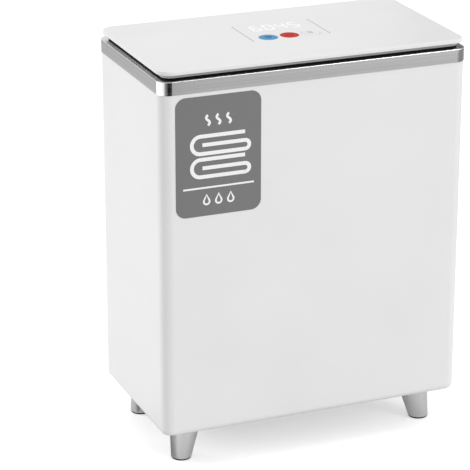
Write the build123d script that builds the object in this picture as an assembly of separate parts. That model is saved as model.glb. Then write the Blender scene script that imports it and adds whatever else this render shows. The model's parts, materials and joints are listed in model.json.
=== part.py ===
from build123d import *

import math
import os

# Towel warmer bucket: an insulated, heated bucket with a hinged lid.
# Millimetres. X is to the right seen from the front, Y to the back, Z up, and the floor is Z = 0.
# Most outlines are named by their inset: the distance inward from the band's outer face.

# --- driving dimensions -------------------------------------------------------------------------

WIDTH = 390.0               # over the trim band
DEPTH = 215.0
CORNER = 14.6               # upright corner radius of the band
BODY_BOTTOM = 44.0          # underside of the shell, above the floor
BAND_BOTTOM = 470.0
BAND_TOP = 486.0
LID_BOTTOM = 492.8          # lower edge of the lid's rim
LID_TOP = 497.5

SHEET = 0.8                 # steel of the band, and how proud it stands of the shell
BAND_FLANGE = 8.5           # width of the band's top flange
SHELL_WALL = 2.5
SHELL_FLOOR = 3.0
BOTTOM_ROUND = 8.5          # rounding of the shell's bottom edge

LINER_SHEET = 1.2
LINER_INSET = 24.2          # outside of the inner bucket's wall
LINER_FLANGE_INSET = 12.0
LINER_CORNER = 24.0
LINER_BOTTOM = 96.0
LINER_ROUND = 12.0
FELT_INSET = 9.5

LID_INSET = 1.2
LID_CORNER = 17.0
LID_RIM = 3.5               # width of the lid shell's rim
LID_SKIN = 2.2              # thickness of the lid shell's top
SKIRT_INSET = 7.6           # outside of the grey skirt under the lid
SKIRT_WALL = 2.5
SKIRT_BOTTOM = 488.4
PLUG_INSET = 28.0           # outside of the lid liner's wall, which dips into the bucket
PLUG_WALL = 1.5
PLUG_BOTTOM = 468.0

HINGE_Y = DEPTH / 2 - 4.0   # hinge axis, in the gap under the lid
HINGE_Z = BAND_TOP + 3.4
HINGE_X = (-120.0, 120.0)
HINGE_LENGTH = 50.0
KNUCKLE = 3.0               # radius
KNUCKLES = 5
HINGE_PIN = 1.25            # radius
LEAF = 1.5                  # sheet thickness of the hinge leaves
LEAF_BOTTOM = 470.5
HINGE_SCREW_X = (-18.0, 0.0, 18.0)
HINGE_SCREW_Z = 478.0
HINGE_SCREW_Y = 93.0

FOOT_TOP = (153.0, 67.3)    # centre of a foot at the shell
FOOT_BASE = (159.9, 72.1)   # centre of a foot at its pad
FOOT_TOP_RADIUS = 19.0
FOOT_BASE_RADIUS = 12.6
FOOT_PAD = 2.2              # thickness of the rubber pad below the foot

PANEL_X = 4.2               # centre of the control panel
PANEL_HALF = 49.0           # to the thin lines at its sides
PANEL_Y = (-26.0, 54.0)
PANEL_FILM = 0.8
PANEL_LINE = 0.8            # width of a side line
PANEL_LINE_Y = (-24.0, 47.0)
BUTTON_X = (-22.3, 5.2, 32.7)
BUTTON_Y = -12.0
BUTTON = 11.3               # radius
BUTTON_HOLE = 11.65
BUTTON_FLANGE = 12.7
BUTTON_PROUD = 0.3
DISPLAY = (3.0, 29.0)       # centre of the four digits
DISPLAY_SIZE = (70.0, 26.0)

LABEL_X = (-177.0, -71.0)
LABEL_Z = (320.3, 465.3)
LABEL_CORNER = 12.5
LABEL_SHEET = 0.3

OPENING = (248.0, 140.0)    # service opening in the shell's floor
PLATE = (264.0, 156.0)      # the plate that closes it
PLATE_SHEET = 2.5
BASE_SCREWS = [(x, y) for x in (-128.0, 128.0) for y in (-45.0, 45.0)]
BASE_SCREWS += [(x, y) for x in (-60.0, 60.0) for y in (-74.0, 74.0)]
BASE_BOSS = (3.6, 57.0)     # radius and top of the bosses for those screws

INLET = (110.0, 75.0)       # X and Z of the mains inlet's centre, on the rear wall
INLET_WINDOW = (30.0, 20.0) # half width and half height of the window it sits behind
INLET_RECESS = 10.0
INLET_TRAY_WALL = 2.0
BOARD = (-85.0, 45.0, -40.0, 40.0)          # power board: X and Y limits
BOARD_Z = 57.0
CONTROL_BOARD = (-54.8, 63.2, -42.0, 62.0)  # control board in the lid
CONTROL_Z = 486.5
PCB = 1.6

M3 = 1.5                    # shank radii
M6 = 2.95

FRAGRANCE = 25.0            # radius of the fragrance holder's wall
FRAGRANCE_BOTTOM = 458.0

CABLE = 1.5                 # radius of the lid cable
CABLE_X = 26.0

nodes = {}


# --- shared shapes ------------------------------------------------------------------------------

def prism(width, depth, radius, low, high, centre=(0, 0)):
    """An upright slab with rounded upright edges."""
    outline = RectangleRounded(width, depth, radius)
    return Pos(centre[0], centre[1], low) * extrude(outline, high - low)


def ring_plan(inset, low, high, radius=None):
    """A slab whose outline lies inset inside the band's outer face."""
    corner = max(CORNER - inset, 3.0) if radius is None else radius
    return prism(WIDTH - 2 * inset, DEPTH - 2 * inset, corner, low, high)


def block(x, y, z):
    """A box from three (low, high) pairs."""
    centre = [(pair[0] + pair[1]) / 2 for pair in (x, y, z)]
    return Pos(*centre) * Box(x[1] - x[0], y[1] - y[0], z[1] - z[0])


def upright(x, y, low, high, radius):
    return Pos(x, y, (low + high) / 2) * Cylinder(radius, high - low)


def along_x(low, high, y, z, radius):
    return Pos((low + high) / 2, y, z) * Rot(0, 90, 0) * Cylinder(radius, high - low)


def along_y(x, low, high, z, radius):
    return Pos(x, (low + high) / 2, z) * Rot(90, 0, 0) * Cylinder(radius, high - low)


def sunk_screw(length, radius=M3, head=2.8):
    """A countersunk screw standing up from its flush head at the origin."""
    cone_height = head - radius
    shank = upright(0, 0, 0, length, radius)
    return shank + Pos(0, 0, cone_height / 2) * Cone(head, radius, cone_height)


def pan_screw(length, radius=M3, head=2.8, head_height=1.6):
    """A pan head screw: the head lies above the origin and the shank hangs below it."""
    return upright(0, 0, 0, head_height, head) + upright(0, 0, -length, 0, radius)


def group(shapes):
    """Several separate solids in one node."""
    return Compound(children=[solid for shape in shapes for solid in shape.solids()])


def tube(points, radius, bends):
    """A round cable along straight runs joined by arcs."""
    path = FilletPolyline(*points, radius=bends)
    return sweep(Plane(origin=path @ 0, z_dir=path % 0) * Circle(radius), path=path)


def corners(x, y):
    """The four mirror images of a point."""
    return [(side_x * x, side_y * y) for side_y in (-1, 1) for side_x in (-1, 1)]


# --- body ---------------------------------------------------------------------------------------

def shell_screw_cutters():
    """Holes for the hinge screws, sunk in the rear wall under the band."""
    screw = Rot(90, 0, 0) * sunk_screw(6.0)
    rear = DEPTH / 2 - SHEET
    return [Pos(x + dx, rear, HINGE_SCREW_Z) * screw for x in HINGE_X for dx in HINGE_SCREW_X]


def inlet_block(half_width, half_height, front, rear):
    x, z = INLET
    return block((x - half_width, x + half_width), (front, rear), (z - half_height, z + half_height))


def outer_shell():
    top = BAND_TOP - SHEET
    body = ring_plan(SHEET, BODY_BOTTOM, top)
    bottom_edges = body.faces().sort_by(Axis.Z)[0].edges()
    body = fillet(bottom_edges, BOTTOM_ROUND)
    floor_top = BODY_BOTTOM + SHELL_FLOOR
    inner = ring_plan(SHEET + SHELL_WALL, floor_top, top + 1)
    inner = fillet(inner.faces().sort_by(Axis.Z)[0].edges(), BOTTOM_ROUND - SHELL_WALL)
    body -= inner

    # a thicker frame round the service opening, with a rebate for the plate and its screw bosses
    body += prism(PLATE[0] + 12, PLATE[1] + 12, 20, BODY_BOTTOM + 1, floor_top + 2)
    for x, y in BASE_SCREWS:
        body += upright(x, y, floor_top, BASE_BOSS[1], BASE_BOSS[0])
    body -= prism(*OPENING, 10, BODY_BOTTOM - 1, floor_top + 20)
    body -= prism(*PLATE, 18, BODY_BOTTOM - 1, BODY_BOTTOM + PLATE_SHEET)
    for x, y in BASE_SCREWS:
        body += upright(x, y, BODY_BOTTOM + PLATE_SHEET, BASE_BOSS[1], BASE_BOSS[0])
        body -= upright(x, y, BODY_BOTTOM, BASE_BOSS[1] - 2, M3)
    for x, y in corners(*FOOT_TOP):
        body -= upright(x, y, BODY_BOTTOM - 1, floor_top + 1, M6 + 0.15)

    # posts that carry the bucket's silicone buffers
    for x, y in corners(148.0, 30.0):
        body += upright(x, y, floor_top - 0.5, LINER_BOTTOM - 6, 6.0)

    # window for the mains inlet's tray
    rear = DEPTH / 2 - SHEET
    body -= inlet_block(*INLET_WINDOW, rear - SHELL_WALL - 1, rear + 1)

    for cutter in shell_screw_cutters():
        body -= cutter
    # groove for the lid's cable
    return body - block((CABLE_X - 2.2, CABLE_X + 2.2), (100.0, 105.4), (464.0, BAND_TOP))


def inlet_tray():
    """The sunk tray behind the window, which carries the mains inlet."""
    front = DEPTH / 2 - SHEET - SHELL_WALL
    floor_y = DEPTH / 2 - SHEET - INLET_RECESS
    outside = [half + INLET_TRAY_WALL for half in INLET_WINDOW]
    tray = inlet_block(*outside, floor_y - SHELL_WALL, front)
    tray -= inlet_block(*INLET_WINDOW, floor_y, front + 1)
    tray -= inlet_block(13.6, 10.1, floor_y - SHELL_WALL - 1, floor_y + 1)
    for side in (-20.0, 20.0):
        tray -= along_y(INLET[0] + side, floor_y - SHELL_WALL - 1, floor_y + 1, INLET[1], M3)
    return tray


def base_plate():
    low, high = BODY_BOTTOM, BODY_BOTTOM + PLATE_SHEET
    plate = prism(PLATE[0] - 0.6, PLATE[1] - 0.6, 17.7, low, high)
    for row in (-24.0, 24.0):
        for column in range(-4, 5):
            plate -= prism(4.0, 36.0, 1.9, low - 1, high + 1, (column * 10.0, row))
    x0, x1, y0, y1 = BOARD
    for x in (x0 + 5, x1 - 5):
        for y in (y0 + 5, y1 - 5):
            plate += upright(x, y, high - 0.5, BOARD_Z, 3.5)
            plate -= upright(x, y, high + 1, BOARD_Z + 1, M3)
    for x, y in BASE_SCREWS:
        plate -= Pos(x, y, low) * sunk_screw(4.0)
    return plate


def base_screws():
    return group([Pos(x, y, BODY_BOTTOM) * sunk_screw(10.0) for x, y in BASE_SCREWS])


def foot(x_side, y_side):
    top_x, top_y = FOOT_TOP[0] * x_side, FOOT_TOP[1] * y_side
    base_x, base_y = FOOT_BASE[0] * x_side, FOOT_BASE[1] * y_side
    cone = loft([Pos(base_x, base_y, FOOT_PAD) * Circle(FOOT_BASE_RADIUS),
                 Pos(top_x, top_y, BODY_BOTTOM) * Circle(FOOT_TOP_RADIUS)])
    cone -= upright(top_x, top_y, 30.0, BODY_BOTTOM + 1, M6)
    cone -= upright(base_x, base_y, 0, 7.0, 3.0)
    return cone


def foot_pads():
    pads = []
    for x, y in corners(*FOOT_BASE):
        disc = upright(x, y, 0, FOOT_PAD, FOOT_BASE_RADIUS - 0.7)
        disc = fillet(disc.edges().sort_by(Axis.Z)[0], 0.6)
        pads.append(disc + upright(x, y, FOOT_PAD - 0.5, 6.5, 3.0))
    return group(pads)


def foot_bolts():
    bolt = pan_screw(16.0, M6, 5.5, 3.5)
    floor_top = BODY_BOTTOM + SHELL_FLOOR
    return group([Pos(x, y, floor_top) * bolt for x, y in corners(*FOOT_TOP)])


def leaf_slots(margin, y, z):
    """Boxes that clear the two body leaves."""
    half = HINGE_LENGTH / 2 + margin
    return [block((x - half, x + half), y, z) for x in HINGE_X]


def trim_band():
    band = ring_plan(0, BAND_BOTTOM, BAND_TOP)
    band = fillet(band.faces().sort_by(Axis.Z)[-1].edges(), 0.75)
    band -= ring_plan(SHEET, BAND_BOTTOM - 1, BAND_TOP - SHEET)
    band -= ring_plan(BAND_FLANGE, BAND_TOP - 2, BAND_TOP + 1, 7.0)
    for slot in leaf_slots(0.3, (102.5, 104.4), (BAND_TOP - 2, BAND_TOP + 1)):
        band -= slot
    band -= upright(CABLE_X, HINGE_Y, BAND_TOP - 2, BAND_TOP + 1, CABLE + 0.4)
    return band


def liner_screw_places():
    """Screws through the inner bucket's flange, inset 17.5 from the band's face."""
    x, y = WIDTH / 2 - 17.5, DEPTH / 2 - 17.5
    return corners(150.0, y) + [(0, -y), (0, y), (-x, 0), (x, 0)]


def mouth_ring():
    low, under_flange = 476.0, BAND_TOP - SHEET
    wall = SHEET + SHELL_WALL
    ring = ring_plan(wall, low, under_flange) + ring_plan(BAND_FLANGE + 0.1, low, BAND_TOP, 6.9)
    ring -= ring_plan(LINER_FLANGE_INSET, BAND_TOP - LINER_SHEET, BAND_TOP + 1, 9.0)
    ring -= ring_plan(wall + 2, low - 1, 482.5, 9.3) - ring_plan(LINER_INSET - 2, low - 1, 482.5, LINER_CORNER + 2)
    for x, y in liner_screw_places():
        ring += upright(x, y, low, 483.0, 3.5)
    ring -= ring_plan(LINER_INSET, low - 1, BAND_TOP + 1, LINER_CORNER)
    for x, y in liner_screw_places():
        ring -= upright(x, y, low - 1, BAND_TOP, M3)
    for slot in leaf_slots(1.0, (100.3, 105.0), (low - 1, under_flange + 0.1)):
        ring -= slot
    ring -= block((CABLE_X - 2.2, CABLE_X + 2.2), (100.7, 105.4), (low - 1, BAND_TOP + 1))
    return ring


def inner_bucket():
    bucket = ring_plan(LINER_INSET, LINER_BOTTOM, BAND_TOP, LINER_CORNER)
    bucket = fillet(bucket.faces().sort_by(Axis.Z)[0].edges(), LINER_ROUND)
    bucket += ring_plan(LINER_FLANGE_INSET, BAND_TOP - LINER_SHEET, BAND_TOP, 9.0)
    inner = ring_plan(LINER_INSET + LINER_SHEET, LINER_BOTTOM + LINER_SHEET, BAND_TOP + 10,
                      LINER_CORNER - LINER_SHEET)
    inner = fillet(inner.faces().sort_by(Axis.Z)[0].edges(), LINER_ROUND - LINER_SHEET)
    bucket -= inner
    for x, y in liner_screw_places():
        bucket -= upright(x, y, BAND_TOP - 2, BAND_TOP + 1, M3)
    return bucket


def liner_screws():
    screw = pan_screw(8.0)
    return group([Pos(x, y, BAND_TOP) * screw for x, y in liner_screw_places()])


def liner_buffers():
    return group([upright(x, y, LINER_BOTTOM - 6, LINER_BOTTOM, 6.0) for x, y in corners(148.0, 30.0)])


def front_label():
    front = -(DEPTH / 2 - SHEET)
    width, height = LABEL_X[1] - LABEL_X[0], LABEL_Z[1] - LABEL_Z[0]
    centre_x, centre_z = sum(LABEL_X) / 2, sum(LABEL_Z) / 2
    outline = RectangleRounded(width, height, LABEL_CORNER)
    return Pos(centre_x, front, centre_z) * Rot(90, 0, 0) * extrude(outline, LABEL_SHEET)


# --- heating and power --------------------------------------------------------------------------

HEATER_LEAD_Y = (-20.0, -10.0)
HEATER_LEAD_X = -100.0
HEATER_BOTTOM = LINER_BOTTOM - 3


def floor_heater():
    plate = prism(250.0, 100.0, 10.0, HEATER_BOTTOM, LINER_BOTTOM)
    for y in HEATER_LEAD_Y:
        plate += block((HEATER_LEAD_X - 2, HEATER_LEAD_X + 2), (y - 2, y + 2), (89.0, HEATER_BOTTOM))
    return plate


def wall_heater():
    mat = ring_plan(LINER_INSET - 1.5, 112.0, 300.0, LINER_CORNER + 1.5)
    return mat - ring_plan(LINER_INSET, 111.0, 301.0, LINER_CORNER)


def insulation_wrap():
    felt = ring_plan(FELT_INSET, 104.0, 474.0, 12.0)
    return felt - ring_plan(LINER_INSET - 1.6, 103.0, 475.0, LINER_CORNER + 1.6)


def base_insulation():
    pad = prism(252.0, 104.0, 10.0, 81.0, HEATER_BOTTOM)
    pad -= block((-14.0, 46.0), (-14.0, 14.0), (80.0, 94.0))
    return pad - block((-112.0, -88.0), (-27.0, -3.0), (80.0, 94.0))


def thermostat():
    body = upright(0, 0, 84.5, HEATER_BOTTOM, 8.0)
    for y in (-4.0, 4.0):
        body += block((-1.5, 1.5), (y - 0.5, y + 0.5), (80.0, 85.0))
    return body


def thermal_fuse():
    clip = block((24.0, 36.0), (-4.0, 4.0), (91.8, HEATER_BOTTOM))
    return clip + along_x(23.0, 37.0, 0, 90.2, 2.0)


def power_board():
    x0, x1, y0, y1 = BOARD
    board = block((x0, x1), (y0, y1), (BOARD_Z, BOARD_Z + PCB))
    for x in (x0 + 5, x1 - 5):
        for y in (y0 + 5, y1 - 5):
            board -= upright(x, y, BOARD_Z - 1, BOARD_Z + PCB + 1, M3)
    return board


def board_screws():
    x0, x1, y0, y1 = BOARD
    screw = pan_screw(7.0)
    top = BOARD_Z + PCB
    return group([Pos(x, y, top) * screw for x in (x0 + 5, x1 - 5) for y in (y0 + 5, y1 - 5)])


def on_board(x, y, height):
    return block(x, y, (BOARD_Z + PCB, BOARD_Z + PCB + height))


def power_transformer():
    core = on_board((-30.0, 2.0), (-30.0, -2.0), 16.0)
    return core + on_board((-25.0, -3.0), (-32.0, 0.0), 20.0)


def heater_relay():
    return fillet(on_board((-66.0, -46.0), (-8.0, 8.0), 15.0).edges().filter_by(Axis.Z), 1.0)


def filter_capacitor():
    return fillet(on_board((8.0, 30.0), (-34.0, -24.0), 15.0).edges().filter_by(Axis.Z), 1.5)


def terminal_blocks():
    return group([on_board((34.0, 44.0), (-2.0, 20.0), 10.0),
                  on_board((-82.0, -72.0), (-26.0, -4.0), 10.0),
                  on_board((20.0, 32.0), (26.0, 34.0), 10.0)])


def power_inlet():
    x, z = INLET
    floor_y = DEPTH / 2 - SHEET - INLET_RECESS
    mouth = floor_y + 2
    flange = inlet_block(25.0, 14.0, floor_y, mouth)
    flange = fillet(flange.edges().filter_by(Axis.Y), 4.0)
    inlet = flange + inlet_block(13.5, 10.0, floor_y - 22, floor_y)
    inlet -= inlet_block(12.1, 8.2, mouth - 16, mouth + 1)
    for blade in inlet_blades():
        inlet -= blade
    for side in (-20.0, 20.0):
        inlet -= along_y(x + side, floor_y - 1, mouth + 1, z, M3)
    return inlet


def inlet_blades():
    x, z = INLET
    rear = DEPTH / 2 - SHEET - INLET_RECESS
    places = ((x - 7, z - 2), (x, z + 2), (x + 7, z - 2))
    return [block((bx - 1, bx + 1), (rear - 28, rear - 1), (bz - 2, bz + 2)) for bx, bz in places]


def inlet_screws():
    mouth = DEPTH / 2 - SHEET - INLET_RECESS + 2
    screw = Rot(-90, 0, 0) * pan_screw(7.0)
    return group([Pos(INLET[0] + side, mouth, INLET[1]) * screw for side in (-20.0, 20.0)])


def mains_leads():
    """Two wires from the inlet's blades to the terminal block."""
    start_y = DEPTH / 2 - SHEET - INLET_RECESS - 28
    blade_z = INLET[1] - 2
    near = [(103.0, start_y, blade_z), (103.0, 53.0, blade_z), (74.0, 14.0, 64.0), (44.0, 14.0, 64.0)]
    far = [(117.0, start_y, blade_z), (117.0, 58.0, blade_z), (80.0, 4.0, 64.0), (44.0, 4.0, 64.0)]
    return group([tube(near, 1.2, 9.0), tube(far, 1.2, 9.0)])


def heater_leads():
    """Two wires from the terminal block up to the heater's tabs."""
    wires = []
    for y in HEATER_LEAD_Y:
        wires.append(tube([(-82.0, y, 64.0), (HEATER_LEAD_X, y, 64.0), (HEATER_LEAD_X, y, 89.0)], 1.1, 8.0))
    return group(wires)


def body_harness():
    """The lid's cable: from the power board up the rear wall and into the hinge axis."""
    rise_y = DEPTH / 2 - SHEET - SHELL_WALL - CABLE - 0.2
    points = [(CABLE_X, 34.0, 64.0), (CABLE_X, rise_y, 64.0), (CABLE_X, rise_y, 466.0),
              (CABLE_X, HINGE_Y, 477.0), (CABLE_X, HINGE_Y, HINGE_Z), (2.0, HINGE_Y, HINGE_Z)]
    return tube(points, CABLE, [12.0, 12.0, 12.0, 3.5])


# --- hinge --------------------------------------------------------------------------------------

def knuckle_spans(centre, moving):
    """Start and end of each knuckle: the fixed and moving ones take turns along the axis."""
    pitch = HINGE_LENGTH / KNUCKLES
    first = 1 if moving else 0
    spans = []
    for index in range(first, KNUCKLES, 2):
        start = centre - HINGE_LENGTH / 2 + index * pitch
        spans.append((start + 0.15, start + pitch - 0.15))
    return spans


def hinge_body_leaf(centre):
    rear = DEPTH / 2 - SHEET - SHELL_WALL
    sheet = (rear - LEAF, rear)
    half = HINGE_LENGTH / 2
    leaf = block((centre - half, centre + half), sheet, (LEAF_BOTTOM, BAND_TOP - 0.1))
    for span in knuckle_spans(centre, moving=False):
        leaf += block(span, sheet, (BAND_TOP - 0.5, HINGE_Z))
        leaf += along_x(*span, HINGE_Y, HINGE_Z, KNUCKLE)
    leaf -= along_x(centre - half, centre + half, HINGE_Y, HINGE_Z, HINGE_PIN)
    for dx in HINGE_SCREW_X:
        leaf -= along_y(centre + dx, rear - LEAF - 1, rear + 1, HINGE_SCREW_Z, M3)
    return leaf


def lid_leaf_box(centre, margin=0.0):
    """The flat of a lid leaf, or its pocket when there is a margin."""
    half = HINGE_LENGTH / 2 + margin
    low = LID_BOTTOM - 0.1
    return block((centre - half, centre + half), (88.0 - margin, 105.3 + margin), (low - margin, low + LEAF))


def hinge_lid_leaf(centre):
    leaf = lid_leaf_box(centre)
    for span in knuckle_spans(centre, moving=True):
        leaf += block(span, (HINGE_Y - 0.75, HINGE_Y + 0.75), (HINGE_Z, LID_BOTTOM))
        leaf += along_x(*span, HINGE_Y, HINGE_Z, KNUCKLE)
    leaf -= along_x(centre - HINGE_LENGTH / 2, centre + HINGE_LENGTH / 2, HINGE_Y, HINGE_Z, HINGE_PIN + 0.05)
    for dx in HINGE_SCREW_X:
        leaf -= Pos(centre + dx, HINGE_SCREW_Y, LID_BOTTOM - 0.1) * sunk_screw(3.0)
    return leaf


def hinge_pins():
    half = HINGE_LENGTH / 2 - 0.15
    return group([along_x(x - half, x + half, HINGE_Y, HINGE_Z, HINGE_PIN) for x in HINGE_X])


def hinge_body_screws():
    return group(shell_screw_cutters())


def lid_leaf_screws():
    screw = sunk_screw(4.0)
    low = LID_BOTTOM - 0.1
    return [Pos(x + dx, HINGE_SCREW_Y, low) * screw for x in HINGE_X for dx in HINGE_SCREW_X]


def hinge_lid_screws():
    return group(lid_leaf_screws())


# --- lid ----------------------------------------------------------------------------------------

LID_CEILING = LID_TOP - LID_SKIN            # underside of the lid shell's top
FRAME_BOTTOM = LID_CEILING - 2.0            # underside of the frame's plate
FILM_BOTTOM = LID_TOP - PANEL_FILM


def lid_screw_places():
    x, y = WIDTH / 2 - 19.0, DEPTH / 2 - 19.0
    return corners(152.0, y) + [(0, -y), (0, y), (-x, 0), (x, 0)]


def panel_block(x, y, z):
    """A box placed from the control panel's centre line."""
    return block((PANEL_X + x[0], PANEL_X + x[1]), y, z)


def lid_top():
    lid = ring_plan(LID_INSET, LID_BOTTOM, LID_TOP, LID_CORNER)
    lid = fillet(lid.faces().sort_by(Axis.Z)[-1].edges(), 1.5)
    lid = fillet(lid.faces().sort_by(Axis.Z)[0].edges(), 0.8)
    lid -= ring_plan(LID_INSET + LID_RIM, LID_BOTTOM - 1, LID_CEILING, LID_CORNER - LID_RIM)
    lid -= panel_block((-PANEL_HALF, PANEL_HALF), PANEL_Y, (FILM_BOTTOM, LID_TOP + 1))
    for line in panel_line_blocks():
        lid -= line
    for x in BUTTON_X:
        lid -= upright(x, BUTTON_Y, LID_CEILING - 1, LID_TOP + 1, BUTTON_HOLE)
    lid -= Pos(*DISPLAY, LID_CEILING) * Box(DISPLAY_SIZE[0] + 0.6, DISPLAY_SIZE[1] + 0.6, 8)
    for x in HINGE_X:
        lid -= lid_leaf_box(x, 0.2)
    for screw in lid_leaf_screws():
        lid -= screw
    return lid


def panel_line_blocks():
    span = (PANEL_HALF, PANEL_HALF + PANEL_LINE)
    z = (LID_TOP - 0.6, LID_TOP)
    return [panel_block((-span[1], -span[0]), PANEL_LINE_Y, z), panel_block(span, PANEL_LINE_Y, z)]


def panel_lines():
    return group(panel_line_blocks())


def control_panel():
    film = panel_block((-PANEL_HALF, PANEL_HALF), PANEL_Y, (FILM_BOTTOM, LID_TOP))
    for x in BUTTON_X:
        film -= upright(x, BUTTON_Y, FILM_BOTTOM - 1, LID_TOP + 1, BUTTON_HOLE)
    return film


def board_posts():
    x0, x1, y0, y1 = CONTROL_BOARD
    return [(x, y) for x in (x0 + 4.5, x1 - 4.5) for y in (y0 + 4, y1 - 4)]


def lid_frame():
    frame = ring_plan(LID_INSET + LID_RIM, FRAME_BOTTOM, LID_CEILING, LID_CORNER - LID_RIM)
    frame += ring_plan(SKIRT_INSET, SKIRT_BOTTOM, FRAME_BOTTOM, LID_CORNER - 6.0)
    frame -= ring_plan(SKIRT_INSET + SKIRT_WALL, SKIRT_BOTTOM - 1, FRAME_BOTTOM, LID_CORNER - 8.5)
    for x, y in lid_screw_places():
        frame += upright(x, y, SKIRT_BOTTOM + PLUG_WALL, FRAME_BOTTOM + 1, 3.5)
        frame -= upright(x, y, SKIRT_BOTTOM, LID_CEILING - 0.3, M3)
    for x, y in board_posts():
        frame += upright(x, y, CONTROL_Z + PCB, FRAME_BOTTOM + 1, 3.0)
        frame -= upright(x, y, CONTROL_Z, LID_CEILING - 0.5, 1.25)
    frame -= panel_block((-PANEL_HALF, PANEL_HALF), (-34.0, 54.5), (FRAME_BOTTOM - 1, LID_CEILING + 1))
    for x in HINGE_X:
        frame -= lid_leaf_box(x, 0.2)
    for screw in lid_leaf_screws():
        frame -= screw
    frame -= block((-28.2, -23.8), (96.5, 100.5), (SKIRT_BOTTOM - 1, FRAME_BOTTOM))
    return frame


def lid_gasket():
    low, high = BAND_TOP + 0.2, SKIRT_BOTTOM
    seal = ring_plan(SKIRT_INSET + 0.6, low, high, LID_CORNER - 6.6)
    return seal - ring_plan(SKIRT_INSET + 4.2, low - 1, high + 1, LID_CORNER - 10.2)


def lid_liner():
    high = SKIRT_BOTTOM + PLUG_WALL
    liner = ring_plan(SKIRT_INSET + SKIRT_WALL + 0.2, SKIRT_BOTTOM, high, LID_CORNER - 8.7)
    plug = ring_plan(PLUG_INSET, PLUG_BOTTOM, high, LINER_CORNER - 2.5)
    liner += fillet(plug.faces().sort_by(Axis.Z)[0].edges(), 5.0)
    hollow = ring_plan(PLUG_INSET + PLUG_WALL, PLUG_BOTTOM + PLUG_WALL, high + 1, LINER_CORNER - 4.0)
    liner -= fillet(hollow.faces().sort_by(Axis.Z)[0].edges(), 3.5)
    for x, y in lid_screw_places():
        liner -= Pos(x, y, SKIRT_BOTTOM) * sunk_screw(4.0)
    return liner


def lid_screws():
    screw = sunk_screw(6.4)
    return group([Pos(x, y, SKIRT_BOTTOM) * screw for x, y in lid_screw_places()])


def lid_insulation():
    inset = PLUG_INSET + PLUG_WALL + 3.6
    return ring_plan(inset, PLUG_BOTTOM + PLUG_WALL, 483.6, 17.0)


def control_board():
    x0, x1, y0, y1 = CONTROL_BOARD
    top = CONTROL_Z + PCB
    board = block((x0, x1), (y0, y1), (CONTROL_Z, top))
    for x, y in board_posts():
        board -= upright(x, y, CONTROL_Z - 1, top + 1, 1.25)
    return board + block((-31.0, -21.0), (48.0, 54.0), (top - 0.5, 493.2))


def control_board_screws():
    screw = Rot(180, 0, 0) * pan_screw(6.5, 1.25, 2.4, 1.4)
    return group([Pos(x, y, CONTROL_Z) * screw for x, y in board_posts()])


def switches():
    top = CONTROL_Z + PCB
    return group([block((x - 3, x + 3), (BUTTON_Y - 3, BUTTON_Y + 3), (top, top + 4.3)) for x in BUTTON_X])


def display_module():
    width, depth = DISPLAY_SIZE
    return prism(width, depth, 1.0, CONTROL_Z + PCB, FILM_BOTTOM - 0.2, DISPLAY)


def button(x):
    high = LID_TOP + BUTTON_PROUD
    cap = upright(x, BUTTON_Y, LID_CEILING - 1.0, high, BUTTON)
    cap = fillet(cap.edges().sort_by(Axis.Z)[-1], 0.5)
    cap += upright(x, BUTTON_Y, LID_CEILING - 1.4, LID_CEILING - 0.1, BUTTON_FLANGE)
    return cap + upright(x, BUTTON_Y, 493.5, LID_CEILING - 1.2, 3.0)


def cable_sleeve():
    """A tube on the hinge axis that the lid's cable turns in."""
    sleeve = along_x(-20.0, 20.0, HINGE_Y, HINGE_Z, KNUCKLE)
    sleeve += block((-10.0, 10.0), (102.9, 105.3), (HINGE_Z, LID_BOTTOM))
    return sleeve - along_x(-21.0, 21.0, HINGE_Y, HINGE_Z, CABLE + 0.4)


def lid_harness():
    run_z = SKIRT_BOTTOM + PLUG_WALL + CABLE + 0.2
    points = [(-26.0, 54.0, run_z), (-26.0, 97.5, run_z), (-26.0, HINGE_Y, HINGE_Z), (-2.0, HINGE_Y, HINGE_Z)]
    return tube(points, CABLE, [8.0, 3.5])


# --- fragrance holder under the lid -------------------------------------------------------------

def lug(inner, outer, low, high, angle, width=24.0):
    """A sector of a ring, centred on an angle about the holder's axis."""
    piece = upright(0, 0, low, high, outer) - upright(0, 0, low - 1, high + 1, inner)
    reach = 2 * outer
    half = math.radians(width / 2)
    wedge = Polyline((0, 0), (reach * math.cos(half), -reach * math.sin(half)),
                     (reach * math.cos(half), reach * math.sin(half)), close=True)
    sector = Pos(0, 0, low) * extrude(make_face(wedge), high - low)
    return Rot(0, 0, angle) * (piece & sector)


def fragrance_holder():
    low = FRAGRANCE_BOTTOM
    holder = upright(0, 0, low, PLUG_BOTTOM, FRAGRANCE) - upright(0, 0, low - 1, PLUG_BOTTOM - 1.5, 22.6)
    for angle in (0, 120, 240):
        holder += lug(FRAGRANCE - 0.5, FRAGRANCE + 2, low + 1, low + 3, angle)
    return holder


def fragrance_pad():
    return upright(0, 0, FRAGRANCE_BOTTOM - 1.7, PLUG_BOTTOM - 1.5, 22.0)


def fragrance_cap():
    low = FRAGRANCE_BOTTOM - 3.6
    cap = upright(0, 0, low, PLUG_BOTTOM - 2, FRAGRANCE + 4.2)
    cap = fillet(cap.edges().sort_by(Axis.Z)[0], 1.0)
    cap -= upright(0, 0, low + 1.6, PLUG_BOTTOM, FRAGRANCE + 2.4)
    for count, radius in ((6, 8.0), (12, 15.0), (16, 21.5)):
        for index in range(count):
            angle = math.tau * (index + 0.5) / count
            cap -= upright(radius * math.cos(angle), radius * math.sin(angle), low - 1, low + 2, 1.6)
    cap += block((-18.0, 18.0), (-1.5, 1.5), (low - 2, low + 0.2))
    for angle in (0, 120, 240):
        cap += lug(FRAGRANCE + 0.3, FRAGRANCE + 2.9, FRAGRANCE_BOTTOM + 3.3, FRAGRANCE_BOTTOM + 5, angle)
    return cap


# --- the whole object ---------------------------------------------------------------------------

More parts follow.
